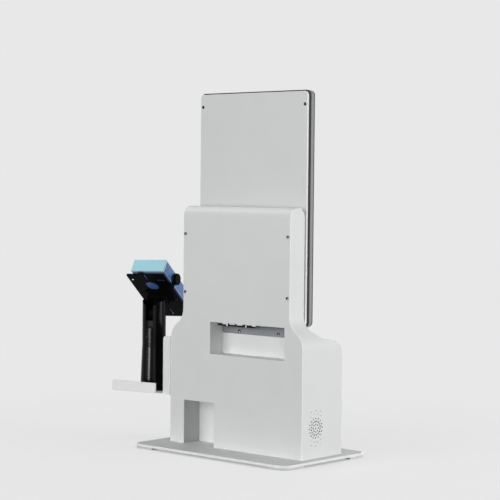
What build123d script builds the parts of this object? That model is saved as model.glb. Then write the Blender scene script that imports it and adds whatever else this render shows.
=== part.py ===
from build123d import *
import math
import os

os.makedirs("parts", exist_ok=True)

# A self-service kiosk for a shop counter: a base plate, a white sheet-metal cabinet with a neck,
# an upright touch display, and a card terminal on a stand at its side.
# All lengths are millimetres. The pieces are drawn with the cabinet's back face at y = 0 and the
# top of the base plate at z = 0. The screen faces -Y and the card terminal stands on the +X side.
# Each piece is moved as it is written, so that the origin is the middle of the base plate's
# footprint on the surface that the kiosk stands on.

# Shared values
overrun = 2.0
fit_gap = 0.3
pin_clearance = 0.04
screw_clearance = 0.05

# Base plate and its pads
base_side_margin = 21.8
base_stand_margin = 35.6
base_front_margin = 57.4
base_thickness = 5.0
base_corner_radius = 24.0
base_edge_radius = 1.4
base_rear_margin = 75.8
pad_height = 4.0
pad_length_side = 38.0
pad_length_stand = 58.0
pad_length_y = 58.0
fixing_spacing_x = 366.0
fixing_spacing_y = 192.5
fixing_setback = 44.45
fixing_hole_radius = 2.6
fixing_hole_depth = 3.5

# Cabinet
sheet = 1.5
box_width = 366.4
box_depth = 125.2
neck_width = 295.7
neck_depth = 45.0
neck_height = 499.6
shoulder_low = 219.0
shoulder_high = 285.0
neck_top_radius = 20.0
ledge_rear_height = 244.4
ledge_fall = 17.7
ledge_inner_radius = 28.0
ledge_outer_radius = 29.0
bottom_flange_width = 22.0
front_opening_drop = 26.7
neck_opening_rise = 31.6
cabinet_edge_radius = 2.0

# Window in the back of the cabinet and its recess
window_right = -135.0
window_left = 68.5
window_low = 193.7
window_high = 260.3
window_depth = 38.5
liner_sheet = 1.2
liner_flange = 8.0
liner_top_margin = 2.0

# Cable notch at the foot of the back
notch_side_margin = 40.5
notch_width = 86.9
notch_height = 92.0
notch_depth = 47.7

# Zinc plate that carries the main board, and the sockets under it
zinc_thickness = 1.2
zinc_bottom = 236.3
zinc_height = 150.0
zinc_side_gap = 0.4
zinc_screw_x1 = 20.1
zinc_screw_x2 = -86.7
zinc_screw_z = 242.1
board_thickness = 1.6
board_right = -105.0
board_left = 60.0
board_bottom = 256.0
board_height = 118.0
standoff_height = 5.0
standoff_radius = 3.0
standoff_inset = 8.0
chip_size = 14.0
chip_height = 1.4
socket_depth = 14.0
socket_bottom = 256.0
socket_height = 16.0
socket_wall = 1.2
socket_cavity = 9.0
lan_width = 16.0
usb_width = 14.6
video_width = 15.0
video_depth = 6.5
power_jack_width = 10.0
socket_pitch = 20.0
socket_start_x = 42.0
button_switch_size = 10.0
power_button_radius = 3.6
power_button_length = 6.0
power_button_travel = 1.5

# Speaker behind the holes on the -X side
speaker_rear_distance = 42.9
speaker_height = 60.5
speaker_hole_radius = 1.75
speaker_outer_hole_radius = 1.2
speaker_ring_pitch = 6.6
speaker_ring_counts_share = (8, 16, 16, 16, 16)
speaker_ring_radius_share = (1.17, 2.09, 2.97, 4.29, 5.39)
speaker_half_breadth = 21.5
speaker_frame_length = 84.0
speaker_frame_breadth = 46.0
speaker_frame_thickness = 3.0
speaker_basket_radius = 19.0
speaker_basket_depth = 12.0
speaker_magnet_radius = 14.0
speaker_magnet_depth = 9.0

# Power supply on the floor of the cabinet
supply_length = 118.0
supply_width = 58.0
supply_height = 34.0
supply_radius = 4.0
supply_centre_y = -52.0

# Neck bracket that carries the display, and the screws through the back of the neck
bracket_sheet = 1.5
bracket_return = 12.0
bracket_boss_radius = 9.0
bracket_boss_height = 3.0
bracket_boss_pitch = 100.0
bracket_boss_centre_z = 400.0
bracket_window_width = 70.0
neck_screw_x = 141.5
neck_screw_low = 319.3
neck_screw_high = 441.2
small_screw_radius = 1.5
small_screw_head_radius = 3.2
small_screw_head_height = 1.6
small_screw_length = 4.5
small_screw_socket_radius = 1.3
small_screw_socket_depth = 0.8

# Base screws, countersunk from below
base_screw_radius = 2.0
base_screw_head_radius = 3.9
base_screw_head_height = 2.0
base_screw_length = 7.5
base_screw_side_inset = 12.0
base_screw_front_inset = 12.0
base_screw_shares = (0.2, 0.5, 0.8)

# Display
display_width = 300.0
display_height = 477.5
display_rise = 14.1
display_x = -1.0
display_back = 48.0
display_corner_radius = 11.5
cover_inset = 2.4
cover_depth = 4.5
cover_edge_radius = 1.5
cover_wall = 1.2
gasket_depth = 4.4
gasket_width = 16.0
frame_depth = 8.0
frame_wall = 4.0
glass_thickness = 3.9
glass_inset = 0.6
panel_margin_x = 32.0
panel_margin_z = 30.0
panel_depth = 9.0
display_screw_x = 140.5
display_screw_z_inset = 28.8
display_screw_radius = 1.5
display_screw_head_radius = 3.4
display_screw_head_height = 1.0
display_screw_length = 6.0

# Front panel under the display
panel_sheet = 2.0
panel_flange = 12.0

# Receipt printer behind the front panel
printer_side_margin = 55.2
printer_width = 116.0
printer_depth = 88.0
printer_bottom = 52.0
printer_height = 120.0
printer_wall = 3.0
paper_radius = 33.0
paper_width = 79.5
paper_core_radius = 6.5
printer_cheek = 4.0
printer_cover_top = 160.0
printer_cover_thickness = 3.0
printer_cover_proud = 0.8
printer_hinge_z = 66.0
hinge_barrel_radius = 4.5
hinge_pin_radius = 1.5
cover_side_gap = 0.8
paper_slot = 3.6
platen_radius = 6.0
platen_length = 80.0
platen_axle_radius = 2.5
platen_rear_gap = 0.3
platen_y = -113.0
platen_z = 150.0
platen_arm_thickness = 3.0
platen_arm_gap = 0.4
head_depth = 10.5
head_bottom = 143.0
head_width = 80.0
latch_side_gap = 11.0
latch_button_z = 112.0
latch_button_width = 15.0
latch_button_height = 9.0
latch_button_depth = 9.0
latch_button_proud = 0.9
latch_flange = 1.5

# Scanner behind its window
scanner_z = 128.0
scanner_window_width = 64.0
scanner_window_height = 46.0
scanner_glass_margin = 3.0
scanner_glass_thickness = 2.0
scanner_wall = 2.5
scanner_depth = 42.0
scanner_floor = 6.0
scanner_lens_radius = 7.0

# Side bracket with the tray of the card terminal's stand
tray_sheet = 2.5
tray_angle = 9.0
tray_rear_offset = 1.7
tray_length = 154.5
tray_depth = 112.0
tray_bottom = 97.5
tray_lip_height = 22.5
tray_flange_width = 20.5
tray_gap_width = 17.2
tray_flange_height = 124.5
tray_corner_radius = 7.0
tray_screw_shares = (0.25, 0.75)
tray_screw_drop = 20.0
tray_screw_radius = 2.0
tray_screw_head_radius = 3.8
tray_screw_head_height = 2.2
tray_screw_length = 6.0

# Stand: a pole on a round base, with a head that turns on it
pole_reach = 100.2
pole_y = -49.5
stand_base_radius = 54.0
stand_base_height = 6.0
stand_base_edge = 1.6
pole_foot_radius = 29.0
pole_top_radius = 25.9
pole_top = 191.0
pole_wall = 3.2
pole_bush_height = 20.0
spigot_radius = 19.0
spigot_length = 17.0
stand_screw_circle = 43.0
stand_screw_count = 3
turn_gap = 0.2

# Swivel head and tilt joint. The angles are those at which the stand is photographed
head_angle = 19.3
tilt_angle = 36.2
plate_turn = -2.6
head_radius = 25.6
ear_radius = 30.0
slot_width = 17.5
slot_bottom = 232.0
collar_groove = 0.7
pivot_height = 262.5
pivot_pin_radius = 4.0
pivot_pin_length = 49.0
tongue_radius = 16.0
arm_width = 26.0
saddle_width = 44.0
saddle_length = 28.0
saddle_gap = 0.6
arm_flange_width = 56.0
arm_flange_length = 44.0
arm_flange_thickness = 5.0
plate_distance = 46.0
plate_shift_x = 0.9
plate_shift_y = 1.0
collar_screw_angle = -12.5
collar_screw_z = 212.6
collar_screw_radius = 2.0
collar_screw_head_radius = 3.6
collar_screw_head_height = 1.4
collar_screw_length = 5.0

# Plate that carries the card terminal, with its stops and clamp
plate_width = 91.6
plate_length = 167.0
plate_thickness = 2.0
plate_corner_radius = 5.0
plate_hole_radius = 15.2
plate_hole_x = 1.0
plate_hole_y = 37.8
plate_slot_length = 23.0
plate_slot_width = 4.8
cross_slot_x = 29.3
cross_slot_y = 60.0
cross_slot_lower_y = -20.0
long_slot_x = 2.5
long_slot_y = 71.2
long_slot_lower_x = -2.0
long_slot_lower_y = -63.5
tab_width = 10.0
tab_x = 8.3
tab_setback = 1.2
stop_height = 12.0
stop_thickness = 4.0
stop_width = 18.0
stop_y = 63.0
jaw_width = 9.0
jaw_thickness = 3.0
jaw_height = 31.5
jaw_y = 39.0
jaw_foot_length = 14.0
knob_height = 17.3
knob_radius = 12.6
knob_length = 6.5
knob_rod_radius = 2.5
knob_pad_radius = 4.5
knob_pad_length = 1.0
knob_lobe_count = 6
knob_lobe_radius = 2.2

# Card terminal
terminal_width = 78.3
terminal_length = 168.0
terminal_thickness = 31.2
terminal_offset_x = -8.5
terminal_top_overhang = 7.9
terminal_corner_radius = 3.0
terminal_wall = 2.0
terminal_front_depth = 5.0
terminal_end_thickness = 6.0
terminal_edge_radius = 1.4
terminal_foot_chamfer = 2.6
lens_width = 62.0
lens_height = 54.0
lens_top_margin = 12.0
lens_thickness = 1.6
terminal_board_height = 20.0
terminal_board_thickness = 1.6
key_width = 16.5
key_height = 9.0
key_pitch_x = 21.5
key_pitch_y = 13.6
key_first_row = 82.0
key_columns = 3
key_rows = 5
key_gap = 0.25
key_proud = 1.3
key_corner_radius = 1.5
key_edge_radius = 0.5
key_travel = 0.8
key_rest_gap = 0.3

# Values worked out from the ones above
base_left = -box_width / 2 - base_side_margin
base_right = box_width / 2 + base_stand_margin
base_front = -box_depth - base_front_margin
base_width = base_right - base_left
base_depth = base_rear_margin - base_front
ledge_front_height = ledge_rear_height - ledge_fall
front_opening_top = ledge_front_height - front_opening_drop
neck_opening_bottom = ledge_rear_height + neck_opening_rise
notch_left = box_width / 2 - notch_side_margin
notch_right = notch_left - notch_width
display_bottom = ledge_rear_height + display_rise
printer_x = -box_width / 2 + printer_side_margin + printer_width / 2
printer_cover_width = printer_width - 2 * printer_cheek
latch_button_x = printer_x + printer_width / 2 + latch_side_gap
latch_button_end = latch_button_x + latch_button_width / 2 + latch_flange
scanner_x = (latch_button_end + box_width / 2) / 2
pole_x = box_width / 2 + pole_reach
floor_lift = base_thickness + pad_height
to_origin = Pos(0, fixing_setback, floor_lift)
front_y = -box_depth
panel_back_y = front_y + panel_sheet
display_top = display_bottom + display_height
display_centre_z = display_bottom + display_height / 2
printer_front_y = panel_back_y
printer_rear_y = printer_front_y + printer_depth
printer_top = printer_bottom + printer_height
tray_floor = tray_bottom + tray_sheet
bush_bore_radius = spigot_radius + pin_clearance


def save(name, shape):
    shape.label = name
    export_step(to_origin * shape, "parts/" + name + ".step")


def block(x0, x1, y0, y1, z0, z1):
    centre = Pos((x0 + x1) / 2, (y0 + y1) / 2, (z0 + z1) / 2)
    return centre * Box(abs(x1 - x0), abs(y1 - y0), abs(z1 - z0))


def rod_x(x0, x1, y, z, radius):
    return Pos((x0 + x1) / 2, y, z) * Rot(0, 90, 0) * Cylinder(radius, abs(x1 - x0))


def rod_y(x, y0, y1, z, radius):
    return Pos(x, (y0 + y1) / 2, z) * Rot(90, 0, 0) * Cylinder(radius, abs(y1 - y0))


def rod_z(x, y, z0, z1, radius):
    return Pos(x, y, (z0 + z1) / 2) * Cylinder(radius, abs(z1 - z0))


def rounded_slab(width, height, radius, thickness):
    """A rounded rectangle in XY from z = 0 up to the thickness."""
    return extrude(RectangleRounded(width, height, radius), thickness)


def pan_screw(radius, length, head_radius, head_height, socket_radius, socket_depth):
    """A screw along Z: its head stands on z = 0 and its shank goes down from there."""
    head = Pos(0, 0, head_height / 2) * Cylinder(head_radius, head_height)
    head = fillet(head.edges().group_by(Axis.Z)[-1], head_height / 2)
    shank = Pos(0, 0, -length / 2) * Cylinder(radius, length)
    socket = Pos(0, 0, head_height) * Cylinder(socket_radius, socket_depth * 2)
    return head + shank - socket


def flat_screw(radius, length, head_radius, head_height):
    """A countersunk screw along Z: the top of its head lies on z = 0."""
    head = Pos(0, 0, -head_height / 2) * Cone(radius, head_radius, head_height)
    shank = Pos(0, 0, -length / 2) * Cylinder(radius, length)
    socket = Cylinder(radius / 2, head_height)
    return head + shank - socket


def flat_screw_hole(radius, depth, head_radius, head_height):
    """The hole for a countersunk screw, a little wider than the screw all over."""
    wide = head_radius + screw_clearance
    narrow = radius + screw_clearance
    cone = Pos(0, 0, -head_height / 2) * Cone(narrow, wide, head_height)
    mouth = Pos(0, 0, overrun / 2) * Cylinder(wide, overrun)
    bore = Pos(0, 0, -depth / 2) * Cylinder(narrow, depth)
    return cone + mouth + bore


def group(shapes):
    """Separate solids that are written as one node."""
    return Compound([solid for shape in shapes for solid in shape.solids()])


# Base plate
def base_outline(low, depth):
    middle = Pos((base_left + base_right) / 2, (base_front + base_rear_margin) / 2, low)
    return middle * rounded_slab(base_width, base_depth, base_corner_radius, depth)


base_screw_places = [
    (side * (box_width / 2 - base_screw_side_inset), -share * box_depth)
    for side in (-1, 1)
    for share in base_screw_shares
]
panel_screw_places = [
    (side * box_width / 4, front_y + base_screw_front_inset) for side in (-1, 1)
]
fixing_places = [
    (side_x * fixing_spacing_x / 2, side_y * fixing_spacing_y / 2 - fixing_setback)
    for side_x in (-1, 1)
    for side_y in (-1, 1)
]

base_plate = base_outline(-base_thickness, base_thickness)
base_plate = fillet(base_plate.edges().group_by(Axis.Z)[-1], base_edge_radius)
base_screw_hole = flat_screw_hole(
    base_screw_radius,
    base_thickness + overrun,
    base_screw_head_radius,
    base_screw_head_height,
)
for x, y in base_screw_places + panel_screw_places:
    base_plate -= Pos(x, y, -base_thickness) * Rot(180, 0, 0) * base_screw_hole
for x, y in fixing_places:
    fixing_top = -base_thickness + fixing_hole_depth
    base_plate -= rod_z(x, y, -base_thickness - overrun, fixing_top, fixing_hole_radius)
save("base_plate", base_plate)

# Rubber pads under the corners, with the counter fixing holes through them
pad_layer = base_outline(-floor_lift, pad_height)
pad_spans_x = [
    (base_left, base_left + pad_length_side),
    (base_right - pad_length_stand, base_right),
]
pad_spans_y = [
    (base_front, base_front + pad_length_y),
    (base_rear_margin - pad_length_y, base_rear_margin),
]
pads = []
for low_x, high_x in pad_spans_x:
    for low_y, high_y in pad_spans_y:
        corner = block(low_x, high_x, low_y, high_y, -floor_lift, -base_thickness)
        pads.append(pad_layer & corner)
for x, y in fixing_places:
    hole = rod_z(x, y, -floor_lift - overrun, -base_thickness + overrun, fixing_hole_radius)
    pads = [pad - hole for pad in pads]
save("base_pads", group(pads))

# Countersunk screws, all alike: up through the base plate, and down through the stand's foot
base_screw = flat_screw(
    base_screw_radius, base_screw_length, base_screw_head_radius, base_screw_head_height
)
base_screws = [
    Pos(x, y, -base_thickness) * Rot(180, 0, 0) * base_screw
    for x, y in base_screw_places + panel_screw_places
]
stand_base_top = tray_bottom + tray_sheet + stand_base_height
stand_screw_places = [
    (
        pole_x + stand_screw_circle * math.cos(2 * math.pi * step / stand_screw_count),
        pole_y + stand_screw_circle * math.sin(2 * math.pi * step / stand_screw_count),
    )
    for step in range(stand_screw_count)
]
base_screws += [Pos(x, y, stand_base_top) * base_screw for x, y in stand_screw_places]
save("countersunk_screws", group(base_screws))


# Rear housing: the folded sheet that is the neck, shoulders and box
def back_outline(inset):
    """The cabinet seen from behind, from its foot up, drawn in XZ and set in by the inset."""
    half_box = box_width / 2
    half_neck = neck_width / 2
    width = half_box - half_neck
    height = shoulder_high - shoulder_low
    radius = (width**2 + height**2) / (4 * width)
    turn = math.atan2(height / (2 * radius), 1 - width / (2 * radius))

    def on_low_arc(angle):
        reach = radius - inset
        x = half_box - radius + reach * math.cos(angle)
        return (x, shoulder_low + reach * math.sin(angle))

    def on_high_arc(angle):
        reach = radius + inset
        x = half_neck + radius - reach * math.cos(angle)
        return (x, shoulder_high - reach * math.sin(angle))

    right = Polyline((0, 0), (half_box - inset, 0), (half_box - inset, shoulder_low))
    right += ThreePointArc(on_low_arc(0), on_low_arc(turn / 2), on_low_arc(turn))
    right += ThreePointArc(on_high_arc(turn), on_high_arc(turn / 2), on_high_arc(0))
    right += Polyline(
        on_high_arc(0), (half_neck - inset, neck_height - inset), (0, neck_height - inset), (0, 0)
    )
    half = make_face(right)
    return Plane.XZ * (half + mirror(half, Plane.YZ))


def side_outline(inset):
    """The cabinet seen from the side, drawn in YZ and set in by the inset."""
    slope = (ledge_rear_height - ledge_front_height) / (box_depth - neck_depth)
    ledge_inset = inset * math.sqrt(1 + slope**2)

    def ledge(y):
        return ledge_rear_height + slope * (y + neck_depth) - ledge_inset

    neck_front = -neck_depth + inset
    box_front = front_y + inset
    outline = FilletPolyline(
        (-inset, 0),
        (-inset, neck_height - inset),
        (neck_front, neck_height - inset),
        (neck_front, ledge(neck_front)),
        (box_front, ledge(box_front)),
        (box_front, 0),
        radius=[
            0,
            neck_top_radius - inset,
            neck_top_radius - inset,
            ledge_inner_radius + inset,
            ledge_outer_radius - inset,
            0,
        ],
        close=True,
    )
    return Plane.YZ * make_face(outline)


def cabinet_form(inset):
    from_behind = extrude(back_outline(inset), box_width, both=True)
    from_side = extrude(side_outline(inset), box_width, both=True)
    return from_behind & from_side


neck_screw_places = [
    (side * neck_screw_x, z) for side in (-1, 1) for z in (neck_screw_low, neck_screw_high)
]
tray_screw_places = [
    (-share * tray_depth, z)
    for share in tray_screw_shares
    for z in (tray_floor + tray_screw_drop, tray_bottom + tray_flange_height - tray_screw_drop)
]


def speaker_holes():
    y0 = -speaker_rear_distance
    wall = -box_width / 2
    holes = [rod_x(wall - overrun, wall + sheet + overrun, y0, speaker_height, speaker_hole_radius)]
    rings = list(zip(speaker_ring_counts_share, speaker_ring_radius_share))
    for ring, (count, radius_share) in enumerate(rings):
        ring_radius = radius_share * speaker_ring_pitch
        inner = ring < len(rings) / 2
        hole_radius = speaker_hole_radius if inner else speaker_outer_hole_radius
        for step in range(count):
            angle = 2 * math.pi * (step + ring % 2 / 2) / count
            dy = ring_radius * math.sin(angle)
            dz = ring_radius * math.cos(angle)
            if abs(dy) < speaker_half_breadth:
                x0 = wall - overrun
                x1 = wall + sheet + overrun
                holes.append(rod_x(x0, x1, y0 + dy, speaker_height + dz, hole_radius))
    return holes


housing = cabinet_form(0)
rear_edges = housing.edges().group_by(Axis.Y)[-1]
housing = fillet(rear_edges.filter_by(lambda e: e.bounding_box().max.Z > 0), cabinet_edge_radius)
housing -= cabinet_form(sheet) - block(
    -box_width, box_width, front_y - overrun, overrun, -overrun, sheet
)
housing -= block(
    -box_width / 2 + bottom_flange_width,
    box_width / 2 - bottom_flange_width,
    front_y + sheet,
    -sheet,
    -overrun,
    sheet + overrun,
)
housing -= block(
    -box_width / 2 + sheet,
    box_width / 2 - sheet,
    front_y - overrun,
    front_y + sheet,
    -overrun,
    front_opening_top,
)
housing -= block(
    -neck_width / 2 + sheet,
    neck_width / 2 - sheet,
    -neck_depth - overrun,
    -neck_depth + sheet,
    neck_opening_bottom,
    neck_height - neck_top_radius,
)
housing -= block(window_right, window_left, -sheet - overrun, overrun, window_low, window_high)
housing -= block(notch_right, notch_left, -sheet - overrun, overrun, -overrun, notch_height)
for x, z in neck_screw_places:
    housing -= rod_y(x, -sheet - overrun, overrun, z, small_screw_radius + screw_clearance)
for y, z in tray_screw_places:
    wall = box_width / 2
    hole_radius = tray_screw_radius + screw_clearance
    housing -= rod_x(wall - sheet - overrun, wall + overrun, y, z, hole_radius)
for x, y in base_screw_places:
    housing -= rod_z(x, y, -overrun, sheet + overrun, base_screw_radius + screw_clearance)
housing -= speaker_holes()
save("rear_housing", housing)


# Recess behind the window, folded from thin sheet
def recess(right, left, low, high, depth, open_top, open_bottom):
    outer = block(
        right - liner_sheet,
        left + liner_sheet,
        -sheet,
        -depth - liner_sheet,
        low if open_bottom else low - liner_sheet,
        high if open_top else high + liner_sheet,
    )
    rim = block(
        right - liner_flange,
        left + liner_flange,
        -sheet,
        -sheet - liner_sheet,
        low if open_bottom else low - liner_flange,
        high if open_top else high + liner_flange,
    )
    room = block(
        right,
        left,
        overrun,
        -depth,
        low - overrun if open_bottom else low,
        high + overrun if open_top else high,
    )
    return outer + rim - room


recess_liner = recess(
    window_right,
    window_left,
    window_low,
    window_high + liner_top_margin,
    window_depth,
    True,
    False,
)
zinc_screw_places = [(zinc_screw_x1, zinc_screw_z), (zinc_screw_x2, zinc_screw_z)]
for x, z in zinc_screw_places:
    recess_liner -= rod_y(
        x, -window_depth + overrun, -window_depth - liner_sheet - overrun, z,
        small_screw_radius + screw_clearance,
    )
save("window_recess", recess_liner)

notch_liner = recess(notch_right, notch_left, 0, notch_height, notch_depth, False, True)
save("cable_recess", notch_liner)

# Zinc plate with the main board on standoffs
zinc_front = -window_depth
zinc_rear = zinc_front + zinc_thickness
board_front = zinc_rear + standoff_height
board_rear = board_front + board_thickness
zinc_plate = block(
    window_right + zinc_side_gap,
    window_left - zinc_side_gap,
    zinc_front,
    zinc_rear,
    zinc_bottom,
    zinc_bottom + zinc_height,
)
for x, z in zinc_screw_places:
    zinc_plate -= rod_y(
        x, zinc_front - overrun, zinc_rear + overrun, z, small_screw_radius + screw_clearance
    )
standoff_places = [
    (x, z)
    for x in (board_right + standoff_inset, board_left - standoff_inset)
    for z in (board_bottom + standoff_inset, board_bottom + board_height - standoff_inset)
]
for x, z in standoff_places:
    zinc_plate += rod_y(x, zinc_rear, board_front, z, standoff_radius)
save("zinc_plate", zinc_plate)

main_board = block(
    board_right, board_left, board_front, board_rear, board_bottom, board_bottom + board_height
)
chip_shares = ((0.18, 0.3), (0.18, 0.52), (0.78, 0.36), (0.84, 0.68), (0.3, 0.8), (0.66, 0.82))
for share_x, share_z in chip_shares:
    x = board_right + share_x * (board_left - board_right)
    z = board_bottom + share_z * board_height
    main_board += block(
        x - chip_size / 2, x + chip_size / 2, board_rear, board_rear + chip_height,
        z - chip_size / 2, z + chip_size / 2,
    )
save("main_board", main_board)


# Sockets on the lower edge of the main board, which open downwards
def socket(x, width, depth):
    shell = block(
        x - width / 2, x + width / 2, board_rear, board_rear + depth,
        socket_bottom, socket_bottom + socket_height,
    )
    room = block(
        x - width / 2 + socket_wall, x + width / 2 - socket_wall,
        board_rear + socket_wall, board_rear + depth - socket_wall,
        socket_bottom - overrun, socket_bottom + socket_cavity,
    )
    return shell - room


socket_sizes = (
    (lan_width, socket_depth),
    (usb_width, socket_depth),
    (usb_width, socket_depth),
    (video_width, video_depth),
    (power_jack_width, socket_depth),
)
sockets = [
    socket(socket_start_x - index * socket_pitch, width, depth)
    for index, (width, depth) in enumerate(socket_sizes)
]
button_x = socket_start_x - len(socket_sizes) * socket_pitch
button_y = board_rear + button_switch_size / 2
button_top = socket_bottom + power_button_length
switch_body = block(
    button_x - button_switch_size / 2, button_x + button_switch_size / 2,
    board_rear, board_rear + button_switch_size,
    socket_bottom + power_button_travel, socket_bottom + socket_height,
)
button_well = button_top + power_button_travel + fit_gap
switch_body -= rod_z(
    button_x, button_y, socket_bottom - overrun, button_well, power_button_radius + fit_gap
)
sockets.append(switch_body)
save("board_sockets", group(sockets))

power_button = rod_z(button_x, button_y, socket_bottom, button_top, power_button_radius)
save("power_button", power_button)

# Small pan-head screws: four through the back of the neck, two in the zinc plate
small_screw = pan_screw(
    small_screw_radius, small_screw_length, small_screw_head_radius, small_screw_head_height,
    small_screw_socket_radius, small_screw_socket_depth,
)
small_screws = [Pos(x, 0, z) * Rot(-90, 0, 0) * small_screw for x, z in neck_screw_places]
small_screws += [Pos(x, zinc_rear, z) * Rot(-90, 0, 0) * small_screw for x, z in zinc_screw_places]
save("small_screws", group(small_screws))

# Neck bracket: a channel behind the display, which closes the front of the neck
half_channel = neck_width / 2 - sheet - fit_gap
channel_low = neck_opening_bottom + fit_gap
channel_high = neck_height - neck_top_radius - fit_gap
channel = block(
    -half_channel, half_channel, -neck_depth, -sheet, channel_low, channel_high
)
channel -= block(
    -half_channel + bracket_sheet, half_channel - bracket_sheet,
    -neck_depth + bracket_sheet, -sheet - bracket_sheet, channel_low - overrun, channel_high + overrun,
)
channel -= block(
    -half_channel + bracket_return, half_channel - bracket_return,
    -sheet - bracket_sheet - overrun, overrun, channel_low - overrun, channel_high + overrun,
)
boss_places = [
    (side * bracket_boss_pitch / 2, bracket_boss_centre_z + rise * bracket_boss_pitch / 2)
    for side in (-1, 1)
    for rise in (-1, 1)
]
for x, z in boss_places:
    channel += rod_y(
        x, -neck_depth, -neck_depth - bracket_boss_height, z, bracket_boss_radius
    )
channel -= rod_y(
    0, -neck_depth - overrun, -neck_depth + bracket_sheet + overrun, bracket_boss_centre_z,
    bracket_window_width / 2,
)
for x, z in neck_screw_places:
    channel -= rod_y(
        x, -sheet - bracket_sheet - overrun, overrun, z, small_screw_radius + screw_clearance
    )
save("display_bracket", channel)

# Speaker, against the inside of the -X wall
speaker_wall = -box_width / 2 + sheet
speaker_back = speaker_wall + speaker_frame_thickness
speaker = (
    Pos(speaker_wall, -speaker_rear_distance, speaker_height)
    * Rot(0, 90, 0)
    * rounded_slab(
        speaker_frame_length, speaker_frame_breadth, speaker_frame_breadth / 4,
        speaker_frame_thickness,
    )
)
speaker += (
    Pos(speaker_back + speaker_basket_depth / 2, -speaker_rear_distance, speaker_height)
    * Rot(0, 90, 0)
    * Cone(speaker_basket_radius, speaker_magnet_radius, speaker_basket_depth)
)
speaker += rod_x(
    speaker_back + speaker_basket_depth,
    speaker_back + speaker_basket_depth + speaker_magnet_depth,
    -speaker_rear_distance,
    speaker_height,
    speaker_magnet_radius,
)
save("speaker", speaker)

# Power supply
supply = Pos(printer_x, supply_centre_y, 0) * rounded_slab(
    supply_length, supply_width, supply_radius, supply_height
)
supply = fillet(supply.edges().group_by(Axis.Z)[-1], supply_radius / 2)
save("power_supply", supply)


# Display, from its white back cover to its front glass
def display_slab(inset, y_rear, y_front):
    """A rounded upright slab of the display's outline, between two distances behind the front."""
    slab = rounded_slab(
        display_width - 2 * inset,
        display_height - 2 * inset,
        max(display_corner_radius - inset, cover_edge_radius),
        y_front - y_rear,
    )
    return Pos(display_x, -y_rear, display_centre_z) * Rot(90, 0, 0) * slab


cover_front = display_back + cover_depth
gasket_front = cover_front + gasket_depth
frame_front = gasket_front + frame_depth
glass_front = frame_front + glass_thickness
display_screw_places = [
    (display_x + side * display_screw_x, z)
    for side in (-1, 1)
    for z in (display_bottom + display_screw_z_inset, display_top - display_screw_z_inset)
]

back_cover = display_slab(cover_inset, display_back, cover_front)
back_cover = fillet(back_cover.edges().group_by(Axis.Y)[-1], cover_edge_radius)
back_cover -= display_slab(
    cover_inset + cover_edge_radius + cover_wall, display_back + cover_wall, cover_front + overrun
)
cover_post_radius = display_screw_head_radius + cover_wall
for x, z in display_screw_places:
    back_cover += rod_y(x, -display_back - cover_wall, -cover_front, z, cover_post_radius)
display_screw_hole = flat_screw_hole(
    display_screw_radius, cover_depth + overrun, display_screw_head_radius, display_screw_head_height
)
for x, z in display_screw_places:
    back_cover -= Pos(x, -display_back, z) * Rot(-90, 0, 0) * display_screw_hole
save("display_back_cover", back_cover)

gasket = display_slab(0, cover_front, gasket_front)
gasket -= display_slab(gasket_width, cover_front - overrun, gasket_front + overrun)
for x, z in display_screw_places:
    gasket -= rod_y(
        x, -cover_front + overrun, -gasket_front - overrun, z, display_screw_radius + screw_clearance
    )
save("display_gasket", gasket)

bezel_frame = display_slab(0, gasket_front, frame_front)
bezel_frame -= display_slab(frame_wall, gasket_front - overrun, frame_front + overrun)
save("display_frame", bezel_frame)

touch_glass = display_slab(glass_inset, frame_front, glass_front)
touch_glass = chamfer(touch_glass.edges().group_by(Axis.Y)[0], glass_inset)
save("touch_glass", touch_glass)

panel = block(
    display_x - display_width / 2 + panel_margin_x, display_x + display_width / 2 - panel_margin_x,
    -frame_front + panel_depth, -frame_front,
    display_bottom + panel_margin_z, display_top - panel_margin_z,
)
save("lcd_panel", panel)

display_screw = flat_screw(
    display_screw_radius, display_screw_length, display_screw_head_radius, display_screw_head_height
)
save(
    "display_screws",
    group(Pos(x, -display_back, z) * Rot(-90, 0, 0) * display_screw for x, z in display_screw_places),
)

# Front panel, with the printer's and the scanner's openings
half_panel = box_width / 2 - sheet - fit_gap
panel_top = front_opening_top - fit_gap
cover_half_width = printer_cover_width / 2
cover_foot = printer_hinge_z - hinge_barrel_radius
opening_low = cover_foot - cover_side_gap
opening_high = printer_cover_top + paper_slot
front_panel = block(-half_panel, half_panel, front_y, front_y + panel_flange, 0, panel_top)
front_panel -= block(
    -half_panel + panel_sheet, half_panel - panel_sheet,
    panel_back_y, front_y + panel_flange + overrun, panel_sheet, panel_top - panel_sheet,
)
front_panel += block(
    -half_panel + bottom_flange_width, half_panel - bottom_flange_width,
    front_y, front_y + 2 * base_screw_front_inset, 0, panel_sheet,
)
front_panel -= block(
    -box_width / 2, -box_width / 2 + bottom_flange_width + fit_gap,
    front_y + sheet, front_y + panel_flange + overrun, -overrun, sheet + fit_gap,
)
front_panel -= block(
    box_width / 2, box_width / 2 - bottom_flange_width - fit_gap,
    front_y + sheet, front_y + panel_flange + overrun, -overrun, sheet + fit_gap,
)
front_panel -= block(
    printer_x - cover_half_width - cover_side_gap, printer_x + cover_half_width + cover_side_gap,
    front_y - overrun, panel_back_y + overrun, opening_low, opening_high,
)
front_panel -= block(
    latch_button_x - latch_button_width / 2 - fit_gap, latch_button_x + latch_button_width / 2 + fit_gap,
    front_y - overrun, panel_back_y + overrun,
    latch_button_z - latch_button_height / 2 - fit_gap, latch_button_z + latch_button_height / 2 + fit_gap,
)
front_panel -= block(
    scanner_x - scanner_window_width / 2, scanner_x + scanner_window_width / 2,
    front_y - overrun, panel_back_y + overrun,
    scanner_z - scanner_window_height / 2, scanner_z + scanner_window_height / 2,
)
for x, y in panel_screw_places:
    front_panel -= rod_z(
        x, y, -overrun, panel_sheet + overrun, base_screw_radius + screw_clearance
    )
save("front_panel", front_panel)

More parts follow.
